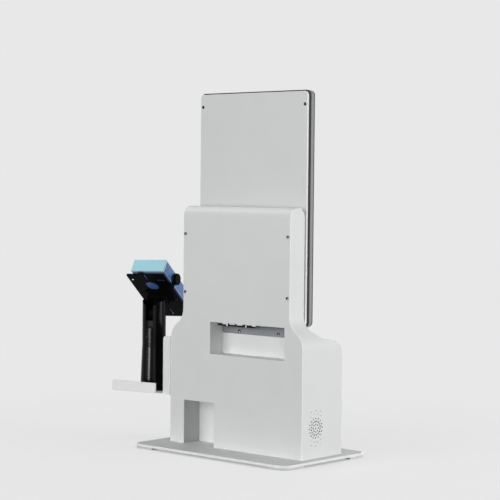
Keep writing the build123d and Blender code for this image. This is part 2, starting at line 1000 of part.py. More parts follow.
# Scanner and its glass
glass_half_width = scanner_window_width / 2 + scanner_glass_margin
glass_half_height = scanner_window_height / 2 + scanner_glass_margin
scanner_rear_y = panel_back_y + scanner_depth
scanner_glass = block(
    scanner_x - glass_half_width, scanner_x + glass_half_width,
    panel_back_y, panel_back_y + scanner_glass_thickness,
    scanner_z - glass_half_height, scanner_z + glass_half_height,
)
save("scanner_window", scanner_glass)

scanner = block(
    scanner_x - glass_half_width - scanner_wall, scanner_x + glass_half_width + scanner_wall,
    panel_back_y, scanner_rear_y,
    scanner_z - glass_half_height - scanner_wall, scanner_z + glass_half_height + scanner_wall,
)
scanner -= block(
    scanner_x - glass_half_width - screw_clearance, scanner_x + glass_half_width + screw_clearance,
    panel_back_y - overrun, panel_back_y + scanner_glass_thickness,
    scanner_z - glass_half_height - screw_clearance, scanner_z + glass_half_height + screw_clearance,
)
scanner -= block(
    scanner_x - scanner_window_width / 2, scanner_x + scanner_window_width / 2,
    panel_back_y, scanner_rear_y - scanner_floor,
    scanner_z - scanner_window_height / 2, scanner_z + scanner_window_height / 2,
)
scanner += rod_y(
    scanner_x, scanner_rear_y - scanner_floor, scanner_rear_y - 2 * scanner_floor,
    scanner_z, scanner_lens_radius,
)
save("scanner_module", scanner)

# Printer body: a bucket for the paper roll, open to the front where the cover closes it
hinge_y = front_y - printer_cover_proud + hinge_barrel_radius
roll_z = printer_bottom + printer_wall + fit_gap + paper_radius
roll_y = printer_rear_y - printer_wall - fit_gap - paper_radius
arm_outer = platen_length / 2 + platen_arm_gap + platen_arm_thickness
bucket_half_width = arm_outer + cover_side_gap
pocket_half_width = cover_half_width + cover_side_gap / 2
printer_body = block(
    printer_x - printer_width / 2, printer_x + printer_width / 2,
    printer_front_y, printer_rear_y, printer_bottom, printer_top,
)
printer_body -= rod_x(
    printer_x - bucket_half_width, printer_x + bucket_half_width, roll_y, roll_z, paper_radius + fit_gap
)
printer_body -= block(
    printer_x - bucket_half_width, printer_x + bucket_half_width,
    printer_front_y - overrun, printer_rear_y - printer_wall, roll_z, opening_high,
)
printer_body -= block(
    printer_x - bucket_half_width, printer_x + bucket_half_width,
    printer_front_y - overrun, roll_y, opening_low, opening_high,
)
pocket_rear = hinge_y + hinge_barrel_radius + cover_side_gap
printer_body -= block(
    printer_x - pocket_half_width, printer_x + pocket_half_width,
    printer_front_y - overrun, pocket_rear, opening_low, opening_high,
)
hinge_hole = rod_x(
    printer_x - printer_width / 2 - overrun, printer_x + printer_width / 2 + overrun,
    hinge_y, printer_hinge_z, hinge_pin_radius + pin_clearance,
)
printer_body -= hinge_hole
save("printer_body", printer_body)

print_head_front = platen_y + platen_radius + platen_rear_gap
print_head = block(
    printer_x - head_width / 2, printer_x + head_width / 2,
    print_head_front, print_head_front + head_depth, head_bottom, opening_high,
)
save("print_head", print_head)

hinge_pin = rod_x(
    printer_x - printer_width / 2, printer_x + printer_width / 2,
    hinge_y, printer_hinge_z, hinge_pin_radius,
)
save("printer_hinge_pin", hinge_pin)

# Printer cover with the platen arms
cover_face = front_y - printer_cover_proud
cover_inner = cover_face + printer_cover_thickness
printer_cover = block(
    printer_x - cover_half_width, printer_x + cover_half_width,
    cover_face, cover_inner, printer_hinge_z, printer_cover_top,
)
printer_cover += rod_x(
    printer_x - cover_half_width, printer_x + cover_half_width, hinge_y, printer_hinge_z,
    hinge_barrel_radius,
)
for side in (-1, 1):
    arm_in = printer_x + side * (platen_length / 2 + platen_arm_gap)
    arm_out = printer_x + side * arm_outer
    printer_cover += block(
        arm_in, arm_out, cover_inner, platen_y, platen_z - platen_radius, platen_z + platen_radius,
    )
    printer_cover += rod_x(arm_in, arm_out, platen_y, platen_z, platen_radius - pin_clearance)
printer_cover -= rod_x(
    printer_x - arm_outer - overrun, printer_x + arm_outer + overrun, platen_y, platen_z,
    platen_axle_radius + pin_clearance,
)
printer_cover -= hinge_hole
save("printer_cover", printer_cover)

platen = rod_x(
    printer_x - platen_length / 2, printer_x + platen_length / 2, platen_y, platen_z, platen_radius
)
platen += rod_x(
    printer_x - arm_outer, printer_x + arm_outer, platen_y, platen_z, platen_axle_radius
)
save("platen_roller", platen)

paper_roll = rod_x(
    printer_x - paper_width / 2, printer_x + paper_width / 2, roll_y, roll_z, paper_radius
)
paper_roll -= rod_x(
    printer_x - paper_width, printer_x + paper_width, roll_y, roll_z, paper_core_radius
)
save("paper_roll", paper_roll)

# Button that lets the printer's cover go
latch_button = block(
    latch_button_x - latch_button_width / 2, latch_button_x + latch_button_width / 2,
    front_y - latch_button_proud, front_y + latch_button_depth,
    latch_button_z - latch_button_height / 2, latch_button_z + latch_button_height / 2,
)
latch_button += block(
    latch_button_x - latch_button_width / 2 - latch_flange,
    latch_button_x + latch_button_width / 2 + latch_flange,
    panel_back_y + fit_gap, panel_back_y + fit_gap + latch_flange,
    latch_button_z - latch_button_height / 2 - latch_flange,
    latch_button_z + latch_button_height / 2 + latch_flange,
)
save("cover_release_button", latch_button)

# Side bracket: a plate on the cabinet's +X wall with a tall rear flange, a tray floor that points
# a little to the rear, and its low rear lip
wall_x = box_width / 2
turn_cos = math.cos(math.radians(tray_angle))
turn_sin = math.sin(math.radians(tray_angle))
rear_outer = (wall_x + tray_length * turn_cos, tray_rear_offset + tray_length * turn_sin)
front_outer = (rear_outer[0] + tray_depth * turn_sin, rear_outer[1] - tray_depth * turn_cos)
front_inner = (wall_x, front_outer[1] - (front_outer[0] - wall_x) * turn_sin / turn_cos)
tray_outline = FilletPolyline(
    (wall_x, tray_rear_offset), rear_outer, front_outer, front_inner,
    radius=[0, 0, tray_corner_radius, 0], close=True,
)
side_bracket = Pos(0, 0, tray_bottom) * extrude(make_face(tray_outline), tray_sheet)
flange_top = tray_bottom + tray_flange_height
side_plate = block(
    wall_x, wall_x + tray_sheet, front_inner[1], tray_rear_offset, tray_bottom, flange_top
)
front_top_edge = side_plate.edges().filter_by(Axis.X).sort_by(Axis.Z)[-2:].sort_by(Axis.Y)[0]
side_plate = fillet(front_top_edge, tray_corner_radius)
rear_frame = Pos(wall_x, tray_rear_offset, 0) * Rot(0, 0, tray_angle)
tall_flange = block(
    wall_x, wall_x + tray_flange_width, tray_rear_offset - tray_sheet, tray_rear_offset,
    tray_bottom, flange_top,
)
tall_edge = tall_flange.edges().filter_by(Axis.Y).sort_by(Axis.Z)[-2:].sort_by(Axis.X)[-1]
tall_flange = fillet(tall_edge, tray_corner_radius)
lip_start = tray_flange_width + tray_gap_width
rear_lip = block(
    lip_start, tray_length, -tray_sheet, 0, tray_bottom, tray_bottom + tray_lip_height
)
lip_edge = rear_lip.edges().filter_by(Axis.Y).sort_by(Axis.Z)[-2:].sort_by(Axis.X)[-1]
rear_lip = fillet(lip_edge, tray_corner_radius)
side_bracket += side_plate
side_bracket += tall_flange
side_bracket += rear_frame * rear_lip
for y, z in tray_screw_places:
    hole_radius = tray_screw_radius + screw_clearance
    side_bracket -= rod_x(wall_x - overrun, wall_x + tray_sheet + overrun, y, z, hole_radius)
for x, y in stand_screw_places:
    hole_radius = base_screw_radius + screw_clearance
    side_bracket -= rod_z(x, y, tray_bottom - overrun, tray_floor + overrun, hole_radius)
save("side_bracket", side_bracket)

tray_screw = pan_screw(
    tray_screw_radius, tray_screw_length, tray_screw_head_radius, tray_screw_head_height,
    tray_screw_radius / 2, tray_screw_head_height / 2,
)
save(
    "bracket_screws",
    group(
        Pos(wall_x + tray_sheet, y, z) * Rot(0, 90, 0) * tray_screw for y, z in tray_screw_places
    ),
)

# Pole of the stand, hollow for the terminal's lead, with the bush that the head turns in
stand_pole = rod_z(pole_x, pole_y, tray_floor, stand_base_top, stand_base_radius)
stand_pole = fillet(stand_pole.edges().group_by(Axis.Z)[-1], stand_base_edge)
pole_length = pole_top - tray_floor
pole_middle = Pos(pole_x, pole_y, tray_floor + pole_length / 2)
stand_pole += pole_middle * Cone(pole_foot_radius, pole_top_radius, pole_length)
hollow_length = pole_length - pole_bush_height
hollow_middle = Pos(pole_x, pole_y, tray_floor + hollow_length / 2)
stand_pole -= hollow_middle * Cylinder(pole_top_radius - pole_wall, hollow_length)
stand_pole -= rod_z(pole_x, pole_y, tray_floor, pole_top + overrun, bush_bore_radius)
stand_screw_hole = flat_screw_hole(
    base_screw_radius, stand_base_height + overrun, base_screw_head_radius, base_screw_head_height
)
for x, y in stand_screw_places:
    stand_pole -= Pos(x, y, stand_base_top) * stand_screw_hole
save("stand_pole", stand_pole)

# Swivel head, drawn about its own axis and then turned. Its two ears are round about the pivot
head_bottom_z = pole_top + turn_gap
head_frame = Pos(pole_x, pole_y, 0) * Rot(0, 0, head_angle)
head_top = pivot_height + ear_radius
ears = rod_z(0, 0, pivot_height, head_top, head_radius)
ears &= rod_x(-head_radius, head_radius, 0, pivot_height, ear_radius)
swivel_head = rod_z(0, 0, head_bottom_z, pivot_height, head_radius) + ears
swivel_head += rod_z(0, 0, head_bottom_z - spigot_length, head_bottom_z, spigot_radius)
swivel_head -= block(
    -slot_width / 2, slot_width / 2, -head_radius - overrun, head_radius + overrun,
    slot_bottom, head_top + overrun,
)
groove_ring = rod_z(
    0, 0, slot_bottom - collar_groove, slot_bottom + collar_groove, head_radius + overrun
)
groove_ring -= rod_z(
    0, 0, slot_bottom - overrun, slot_bottom + overrun, head_radius - collar_groove
)
swivel_head -= groove_ring
swivel_head -= rod_x(
    -head_radius - overrun, head_radius + overrun, 0, pivot_height, pivot_pin_radius + pin_clearance
)
collar_frame = Pos(0, 0, collar_screw_z) * Rot(0, 0, collar_screw_angle)
collar_seat = head_radius - collar_screw_head_height
collar_pocket = rod_y(
    0, collar_seat, head_radius + overrun, 0, collar_screw_head_radius + fit_gap
)
collar_bore = rod_y(
    0, collar_seat - collar_screw_length - fit_gap, head_radius, 0, collar_screw_radius + screw_clearance
)
swivel_head -= collar_frame * (collar_pocket + collar_bore)
save("swivel_head", head_frame * swivel_head)

collar_screw = pan_screw(
    collar_screw_radius, collar_screw_length, collar_screw_head_radius, collar_screw_head_height,
    collar_screw_radius / 2, collar_screw_head_height / 2,
)
collar_screw = Pos(0, collar_seat, 0) * Rot(-90, 0, 0) * collar_screw
save("collar_screw", head_frame * collar_frame * collar_screw)

tilt_pin = rod_x(-pivot_pin_length / 2, pivot_pin_length / 2, 0, pivot_height, pivot_pin_radius)
save("tilt_pin", head_frame * tilt_pin)

# Tilt arm, drawn upright over the pivot and then tilted. Its flange carries the terminal's plate
tilt_frame = head_frame * Pos(0, 0, pivot_height) * Rot(tilt_angle, 0, 0)
tongue_half = slot_width / 2 - fit_gap
flange_bottom = plate_distance - arm_flange_thickness
tilt_arm = rod_x(-tongue_half, tongue_half, 0, 0, tongue_radius)
tilt_arm += block(-tongue_half, tongue_half, -arm_width / 2, arm_width / 2, 0, flange_bottom)
tilt_arm += block(
    -saddle_width / 2, saddle_width / 2, -saddle_length / 2, saddle_length / 2,
    ear_radius + saddle_gap, flange_bottom,
)
tilt_arm += Pos(0, 0, flange_bottom) * rounded_slab(
    arm_flange_width, arm_flange_length, plate_corner_radius, arm_flange_thickness
)
tilt_arm -= rod_x(-slot_width, slot_width, 0, 0, pivot_pin_radius + pin_clearance)
save("tilt_arm", tilt_frame * tilt_arm)

# Plate under the terminal, drawn flat about its own middle: +Y is its upper end
plate_frame = tilt_frame * Pos(0, 0, plate_distance) * Rot(0, 0, plate_turn)
plate_frame *= Pos(plate_shift_x, plate_shift_y, 0)
plate_slot = SlotOverall(plate_slot_length, plate_slot_width)
mount_plate = rounded_slab(plate_width, plate_length, plate_corner_radius, plate_thickness)
tab = block(
    tab_x - tab_width / 2, tab_x + tab_width / 2,
    plate_length / 2 - overrun, plate_length / 2 + terminal_top_overhang - tab_setback,
    0, plate_thickness,
)
mount_plate += tab
mount_plate -= rod_z(
    plate_hole_x, plate_hole_y, -overrun, plate_thickness + overrun, plate_hole_radius
)
slot_cuts = [
    Pos(-cross_slot_x, cross_slot_y, 0) * plate_slot,
    Pos(-cross_slot_x, cross_slot_lower_y, 0) * plate_slot,
    Pos(long_slot_x, long_slot_y, 0) * Rot(0, 0, 90) * plate_slot,
    Pos(long_slot_lower_x, long_slot_lower_y, 0) * Rot(0, 0, 90) * plate_slot,
]
for cut in slot_cuts:
    mount_plate -= extrude(cut, plate_thickness + overrun, both=True)
save("mount_plate", plate_frame * mount_plate)

# Stop and clamp jaw beside the terminal
terminal_left = terminal_offset_x + terminal_width / 2
terminal_right = terminal_offset_x - terminal_width / 2
stop = block(
    terminal_left, terminal_left + stop_thickness, stop_y - stop_width / 2, stop_y + stop_width / 2,
    plate_thickness, plate_thickness + stop_height,
)
jaw_in = terminal_right - knob_pad_length
jaw_out = jaw_in - jaw_thickness
jaw = block(
    jaw_in, jaw_out, jaw_y - jaw_width / 2, jaw_y + jaw_width / 2, 0, jaw_height,
)
jaw_top = jaw.edges().filter_by(Axis.X).group_by(Axis.Z)[-1]
jaw = fillet(jaw_top, jaw_width / 3)
jaw += block(
    jaw_out, jaw_out + jaw_foot_length, jaw_y - jaw_width / 2, jaw_y + jaw_width / 2, 0, -plate_thickness
)
jaw -= rod_x(
    jaw_in + overrun, jaw_out - overrun, jaw_y, knob_height, knob_rod_radius + pin_clearance
)
save("clamp_jaws", group([plate_frame * stop, plate_frame * jaw]))

knob = rod_x(jaw_out - fit_gap, jaw_out - fit_gap - knob_length, 0, 0, knob_radius)
knob = fillet(knob.edges().group_by(Axis.X)[0], knob_lobe_radius / 2)
for step in range(knob_lobe_count):
    angle = 2 * math.pi * step / knob_lobe_count
    groove_reach = knob_radius + knob_lobe_radius / 2
    knob -= rod_x(
        jaw_out, jaw_out - knob_length - overrun,
        groove_reach * math.cos(angle), groove_reach * math.sin(angle), knob_lobe_radius,
    )
knob += rod_x(jaw_in, jaw_out - knob_length / 2, 0, 0, knob_rod_radius)
knob += rod_x(terminal_right - screw_clearance, jaw_in, 0, 0, knob_pad_radius)
save("clamp_knob", plate_frame * Pos(0, jaw_y, knob_height) * knob)

# Card terminal, drawn on the plate: its upper end is at +Y and its keys face up
terminal_top = plate_length / 2 + terminal_top_overhang
terminal_frame = plate_frame * Pos(terminal_offset_x, terminal_top, plate_thickness)
front_bottom = terminal_thickness - terminal_front_depth
body_length = terminal_length - terminal_end_thickness


rear_shell = Pos(0, -terminal_end_thickness - body_length / 2, 0) * rounded_slab(
    terminal_width, body_length, terminal_corner_radius, front_bottom
)
rear_shell = chamfer(rear_shell.edges().group_by(Axis.Z)[0], terminal_foot_chamfer)
rear_shell -= Pos(0, -terminal_end_thickness - body_length / 2, terminal_wall) * rounded_slab(
    terminal_width - 2 * terminal_wall, body_length - 2 * terminal_wall,
    terminal_corner_radius - terminal_wall / 2, terminal_thickness,
)
save("terminal_rear_shell", terminal_frame * rear_shell)

end_cover = block(
    -terminal_width / 2, terminal_width / 2, -terminal_end_thickness, 0,
    terminal_foot_chamfer, terminal_thickness,
)
end_edges = end_cover.edges().group_by(Axis.Y)[-1]
end_cover = fillet(end_edges, terminal_edge_radius / 2)
save("terminal_end_cover", terminal_frame * end_cover)

key_places = [
    (
        (column - (key_columns - 1) / 2) * key_pitch_x,
        -key_first_row - row * key_pitch_y,
    )
    for row in range(key_rows)
    for column in range(key_columns)
]
front_shell = Pos(0, -terminal_end_thickness - body_length / 2, front_bottom) * rounded_slab(
    terminal_width, body_length, terminal_corner_radius, terminal_front_depth
)
front_shell = fillet(front_shell.edges().group_by(Axis.Z)[-1], terminal_edge_radius)
lens_centre_y = -terminal_end_thickness - lens_top_margin - lens_height / 2
front_shell -= Pos(0, lens_centre_y, terminal_thickness - lens_thickness) * rounded_slab(
    lens_width + 2 * screw_clearance, lens_height + 2 * screw_clearance, key_corner_radius,
    lens_thickness + overrun,
)
for x, y in key_places:
    key_room = rounded_slab(
        key_width + 2 * key_gap, key_height + 2 * key_gap, key_corner_radius + key_gap,
        terminal_front_depth + 2 * overrun,
    )
    front_shell -= Pos(x, y, front_bottom - overrun) * key_room
save("terminal_front_shell", terminal_frame * front_shell)

lens = Pos(0, lens_centre_y, terminal_thickness - lens_thickness) * rounded_slab(
    lens_width, lens_height, key_corner_radius, lens_thickness
)
save("terminal_screen", terminal_frame * lens)

key_bottom = terminal_board_height + terminal_board_thickness + key_travel + key_rest_gap
terminal_board = Pos(0, -terminal_end_thickness - body_length / 2, terminal_board_height) * (
    rounded_slab(
        terminal_width - 2 * terminal_wall - fit_gap, body_length - 2 * terminal_wall - fit_gap,
        terminal_corner_radius - terminal_wall / 2, terminal_board_thickness,
    )
)
save("terminal_board", terminal_frame * terminal_board)

key_names = (
    "key_1", "key_2", "key_3",
    "key_4", "key_5", "key_6",
    "key_7", "key_8", "key_9",
    "key_star", "key_0", "key_hash",
    "key_cancel", "key_clear", "key_enter",
)
key_top = terminal_thickness + key_proud
key = rounded_slab(key_width, key_height, key_corner_radius, key_top - key_bottom)
key = fillet(key.edges().group_by(Axis.Z)[-1], key_edge_radius)
for name, (x, y) in zip(key_names, key_places):
    save(name, terminal_frame * Pos(x, y, key_bottom) * key)
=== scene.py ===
import math

import bmesh
import bpy
from mathutils import Matrix, Vector


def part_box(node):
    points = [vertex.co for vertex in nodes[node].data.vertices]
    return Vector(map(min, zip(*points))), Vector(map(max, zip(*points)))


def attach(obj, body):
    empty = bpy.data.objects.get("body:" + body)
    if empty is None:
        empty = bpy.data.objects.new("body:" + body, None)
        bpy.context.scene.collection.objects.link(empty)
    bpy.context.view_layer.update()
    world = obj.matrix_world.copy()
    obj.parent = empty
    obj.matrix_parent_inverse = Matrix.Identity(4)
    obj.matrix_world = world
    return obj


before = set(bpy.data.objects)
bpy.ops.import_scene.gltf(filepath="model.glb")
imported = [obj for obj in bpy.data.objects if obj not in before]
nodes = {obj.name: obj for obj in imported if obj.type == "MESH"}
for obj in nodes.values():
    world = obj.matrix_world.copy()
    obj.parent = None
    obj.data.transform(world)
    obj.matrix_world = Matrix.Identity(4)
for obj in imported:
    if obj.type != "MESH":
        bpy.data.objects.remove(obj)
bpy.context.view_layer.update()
scene = bpy.context.scene

MM = 0.001

# The cabinet's own frame, in millimetres: its back face is y = 0 and the base plate's top is z = 0
BACK_Y = 44.45
FLOOR_Z = 9.0


def at(x, y, z):
    """A point of the cabinet's frame, in metres of the shared frame."""
    return Vector((x * MM, (y + BACK_Y) * MM, (z + FLOOR_Z) * MM))


def moved(x, y, z):
    """A shift by millimetres."""
    return Matrix.Translation((x * MM, y * MM, z * MM))


def turned(degrees, axis):
    return Matrix.Rotation(math.radians(degrees), 4, axis)


# Helpers for shader nodes
def shader(name):
    material = bpy.data.materials.new(name)
    material.use_nodes = True
    tree = material.node_tree
    tree.nodes.clear()
    out = tree.nodes.new("ShaderNodeOutputMaterial")
    body = tree.nodes.new("ShaderNodeBsdfPrincipled")
    tree.links.new(body.outputs[0], out.inputs[0])
    coords = tree.nodes.new("ShaderNodeTexCoord")
    return material, tree, body, coords.outputs["Object"]


def noise(tree, vector, scale, detail=3.0):
    node = tree.nodes.new("ShaderNodeTexNoise")
    node.inputs["Scale"].default_value = scale
    node.inputs["Detail"].default_value = detail
    node.inputs["Roughness"].default_value = 0.55
    tree.links.new(vector, node.inputs["Vector"])
    return node.outputs["Fac"]


def spread(tree, value, low, high, out_low, out_high):
    """The value, with low to high stretched to out_low to out_high."""
    node = tree.nodes.new("ShaderNodeMapRange")
    node.inputs["From Min"].default_value = low
    node.inputs["From Max"].default_value = high
    node.inputs["To Min"].default_value = out_low
    node.inputs["To Max"].default_value = out_high
    tree.links.new(value, node.inputs["Value"])
    return node.outputs[0]


def mixed(tree, share, colour_a, colour_b):
    """Colour a at share 0 and colour b at share 1, each a tuple or a socket."""
    node = tree.nodes.new("ShaderNodeMix")
    node.data_type = "RGBA"
    tree.links.new(share, node.inputs[0])
    for socket, colour in ((node.inputs[6], colour_a), (node.inputs[7], colour_b)):
        if isinstance(colour, tuple):
            socket.default_value = (*colour, 1.0)
        else:
            tree.links.new(colour, socket)
    return node.outputs[2]


def number_step(tree, operation, first, second=None):
    node = tree.nodes.new("ShaderNodeMath")
    node.operation = operation
    tree.links.new(first, node.inputs[0])
    if second is not None:
        tree.links.new(second, node.inputs[1])
    return node.outputs[0]


def vector_step(tree, operation, vector, constant=(0, 0, 0)):
    node = tree.nodes.new("ShaderNodeVectorMath")
    node.operation = operation
    node.inputs[1].default_value = constant
    tree.links.new(vector, node.inputs[0])
    return node.outputs["Vector" if operation == "SUBTRACT" else "Value"]


def bumped(tree, body, height, strength, depth):
    node = tree.nodes.new("ShaderNodeBump")
    node.inputs["Strength"].default_value = strength
    node.inputs["Distance"].default_value = depth
    tree.links.new(height, node.inputs["Height"])
    tree.links.new(node.outputs[0], body.inputs["Normal"])


# How far a surface's noise is stretched, and how far its roughness strays to each side
NOISE_MIDDLE = (0.3, 0.7)
DRIFT_MIDDLE = (0.35, 0.65)
ROUGHNESS_DRIFT = 0.05
DRIFT_SCALE = 14.0
DRIFT_DETAIL = 4.0
GRAIN_DETAIL = 2.0
COAT_ROUGHNESS = 0.12


def finish(name, colour, rough, vary, grain, strength, depth,
           metallic=0.0, coat=0.0, stretch=None, gloss=0.5):
    """A surface whose colour drifts a little, whose gloss is uneven and whose grain stands out."""
    material, tree, body, place = shader(name)
    fine = place
    if stretch:
        scaling = tree.nodes.new("ShaderNodeMapping")
        scaling.inputs["Scale"].default_value = stretch
        tree.links.new(place, scaling.inputs["Vector"])
        fine = scaling.outputs[0]
    darker = tuple(part * (1 - vary) for part in colour)
    lighter = tuple(min(1.0, part * (1 + vary)) for part in colour)
    broad = noise(tree, place, DRIFT_SCALE, DRIFT_DETAIL)
    grains = noise(tree, fine, grain, GRAIN_DETAIL)
    drift = spread(tree, broad, *DRIFT_MIDDLE, 0.0, 1.0)
    tree.links.new(mixed(tree, drift, darker, lighter), body.inputs["Base Color"])
    uneven = spread(tree, grains, *NOISE_MIDDLE, rough - ROUGHNESS_DRIFT, rough + ROUGHNESS_DRIFT)
    tree.links.new(uneven, body.inputs["Roughness"])
    bumped(tree, body, grains, strength, depth)
    body.inputs["Metallic"].default_value = metallic
    body.inputs["Coat Weight"].default_value = coat
    body.inputs["Coat Roughness"].default_value = COAT_ROUGHNESS
    body.inputs["Specular IOR Level"].default_value = gloss
    return material


def paint_light_by_slope(material, axis, begin, end, colour):
    """Painted light or shade: faces whose normal's part along the axis lies between the two pairs
    take another colour.
    """
    tree = material.node_tree
    body = next(node for node in tree.nodes if node.type == "BSDF_PRINCIPLED")
    plain = body.inputs["Base Color"].links[0].from_socket
    face = tree.nodes.new("ShaderNodeNewGeometry")
    parts = tree.nodes.new("ShaderNodeSeparateXYZ")
    tree.links.new(face.outputs["Normal"], parts.inputs[0])
    slope = parts.outputs[axis]
    rising = spread(tree, slope, *begin, 0.0, 1.0)
    falling = spread(tree, slope, *end, 1.0, 0.0)
    share = number_step(tree, "MINIMUM", rising, falling)
    tree.links.new(mixed(tree, share, plain, colour), body.inputs["Base Color"])


# Cover glass: black beside the lit area, two near blacks in it, and a faint smear on top
UNLIT_BLACK = (0.0025, 0.0025, 0.003)
LIT_BLACKS = ((0.010, 0.012, 0.016), (0.016, 0.019, 0.026))
LIT_DRIFT_SCALE = 9.0
LIT_BORDER = 0.3 * MM
SMEAR_SCALE = 30.0
SMEAR_ROUGHNESS = (0.05, 0.11)
GLASS_COAT_ROUGHNESS = 0.03


def screen_glass(name, centre, half_width, half_height, axes):
    """Black cover glass whose lit area shows as a slightly lighter rectangle behind it."""
    material, tree, body, place = shader(name)
    from_centre = vector_step(tree, "SUBTRACT", place, centre)
    within = []
    for axis, half in zip(axes, (half_width, half_height)):
        distance = number_step(tree, "ABSOLUTE", vector_step(tree, "DOT_PRODUCT", from_centre, axis))
        within.append(spread(tree, distance, half - LIT_BORDER, half + LIT_BORDER, 1.0, 0.0))
    inside = number_step(tree, "MULTIPLY", *within)
    lit = mixed(tree, noise(tree, place, LIT_DRIFT_SCALE), *LIT_BLACKS)
    tree.links.new(mixed(tree, inside, UNLIT_BLACK, lit), body.inputs["Base Color"])
    smear = spread(tree, noise(tree, place, SMEAR_SCALE), *NOISE_MIDDLE, *SMEAR_ROUGHNESS)
    tree.links.new(smear, body.inputs["Roughness"])
    body.inputs["Coat Weight"].default_value = 1.0
    body.inputs["Coat Roughness"].default_value = GLASS_COAT_ROUGHNESS
    return material


def paint(material, *names):
    for name in names:
        data = nodes[name].data
        data.materials.clear()
        data.materials.append(material)


# The grain of each kind of surface: its fineness, how much it stands out and its depth in metres
POWDER = {"grain": 1400.0, "strength": 0.30, "depth": 0.05 * MM}
MOULDED = {"grain": 1700.0, "strength": 0.20, "depth": 0.04 * MM}
COARSE = {"grain": 1600.0, "strength": 0.30, "depth": 0.06 * MM}
MACHINED = {"grain": 2500.0, "strength": 0.20, "depth": 0.03 * MM}
POLISHED = {"grain": 2500.0, "strength": 0.10, "depth": 0.02 * MM}
PRINTED = {"grain": 2400.0, "strength": 0.10, "depth": 0.02 * MM}
MASKED = {"grain": 420.0, "strength": 0.25, "depth": 0.05 * MM}

# Sheet metal
white_coat = finish("white_powder_coat", (0.780, 0.794, 0.788), 0.46, 0.012, **POWDER)
inner_coat = finish("white_coat_inside", (0.760, 0.776, 0.770), 0.50, 0.015, **POWDER)
bracket_coat = finish("bracket_coat", (0.820, 0.832, 0.826), 0.46, 0.012, **POWDER)
notch_coat = finish("notch_coat", (0.800, 0.816, 0.810), 0.50, 0.015, **POWDER)
base_grey = finish(
    "base_grey_coat", (0.660, 0.672, 0.667), 0.50, 0.02, 1300.0, 0.30, 0.05 * MM, gloss=0.3
)
zinc = finish(
    "zinc_plate", (0.170, 0.185, 0.193), 0.52, 0.06, 420.0, 0.08, 0.02 * MM, metallic=0.1, gloss=0.3
)
frame_grey = finish(
    "frame_grey_coat", (0.285, 0.290, 0.297), 0.34, 0.05, 900.0, 0.12, 0.02 * MM,
    stretch=(1.0, 1.0, 0.04), gloss=0.3,
)
black_coat = finish(
    "black_powder_coat", (0.0026, 0.0027, 0.0032), 0.50, 0.15, 1500.0, 0.35, 0.07 * MM, gloss=0.02
)
black_gloss = finish(
    "black_satin_enamel", (0.0016, 0.0016, 0.0018), 0.20, 0.12, 1500.0, 0.03, 0.02 * MM, gloss=0.07
)

# Bare and plated metal
dark_screw = finish("dark_screw", (0.030, 0.030, 0.029), 0.40, 0.08, **MACHINED, gloss=0.2)
black_screw = finish("blackened_screw", (0.005, 0.005, 0.005), 0.45, 0.10, **MACHINED, gloss=0.08)
screw_metal = finish("screw_metal", (0.34, 0.34, 0.33), 0.34, 0.08, **MACHINED, metallic=1.0)
# A near black for painted shade, and bright metal for a stud and for painted highlights on screws
recess_shade = finish("screw_recess_shade", (0.010, 0.010, 0.010), 0.60, 0.10, **MACHINED, gloss=0.1)
bright_metal = finish("stud_and_glint_metal", (0.80, 0.80, 0.79), 0.22, 0.04, **POLISHED, metallic=1.0)
gold = finish("gold_contact", (0.80, 0.55, 0.18), 0.25, 0.05, 2000.0, 0.10, 0.02 * MM, metallic=1.0)
ground_steel = finish(
    "ground_steel", (0.56, 0.56, 0.57), 0.26, 0.05, 900.0, 0.20, 0.03 * MM,
    metallic=1.0, stretch=(0.04, 1.0, 1.0),
)
supply_metal = finish(
    "supply_metal", (0.52, 0.53, 0.54), 0.40, 0.06, 700.0, 0.15, 0.04 * MM, metallic=0.9
)
socket_metal = finish(
    "socket_plating", (0.56, 0.56, 0.55), 0.28, 0.05, 1100.0, 0.15, 0.03 * MM, metallic=1.0
)

# Plastic, rubber, paper and boards
cover_white = finish("cover_white", (0.745, 0.762, 0.756), 0.36, 0.010, 2200.0, 0.12, 0.03 * MM)
pad_grey = finish("pad_grey", (0.740, 0.750, 0.746), 0.70, 0.03, 1800.0, 0.30, 0.06 * MM)
rubber = finish("black_rubber", (0.020, 0.020, 0.021), 0.75, 0.10, 1800.0, 0.35, 0.08 * MM)
black_plastic = finish("black_plastic", (0.008, 0.008, 0.009), 0.50, 0.10, **COARSE, gloss=0.2)
grey_plastic = finish("grey_plastic", (0.10, 0.105, 0.11), 0.46, 0.05, **COARSE)
paper_white = finish("paper_white", (0.80, 0.80, 0.78), 0.85, 0.02, 2600.0, 0.20, 0.04 * MM)
board_green = finish("green_solder_mask", (0.012, 0.075, 0.030), 0.34, 0.20, **MASKED)
board_blue = finish("blue_solder_mask", (0.010, 0.022, 0.060), 0.34, 0.20, **MASKED)
panel_dark = finish("panel_film", (0.020, 0.020, 0.024), 0.30, 0.06, 2200.0, 0.08, 0.02 * MM)
terminal_light = finish("terminal_light_blue", (0.470, 0.840, 1.000), 0.40, 0.03, **MOULDED)
key_grey = finish("key_grey", (0.60, 0.62, 0.64), 0.48, 0.03, **MOULDED)
key_red = finish("key_red", (0.50, 0.030, 0.025), 0.44, 0.04, **MOULDED)
key_yellow = finish("key_yellow", (0.72, 0.45, 0.03), 0.44, 0.04, **MOULDED)
key_green = finish("key_green", (0.030, 0.300, 0.070), 0.44, 0.04, **MOULDED)
socket_blue = finish("socket_blue", (0.02, 0.10, 0.45), 0.42, 0.05, **MOULDED)
legend_ink = finish("legend_ink", (0.03, 0.03, 0.035), 0.55, 0.05, **PRINTED)
legend_white = finish("legend_white", (0.80, 0.80, 0.80), 0.55, 0.02, **PRINTED)

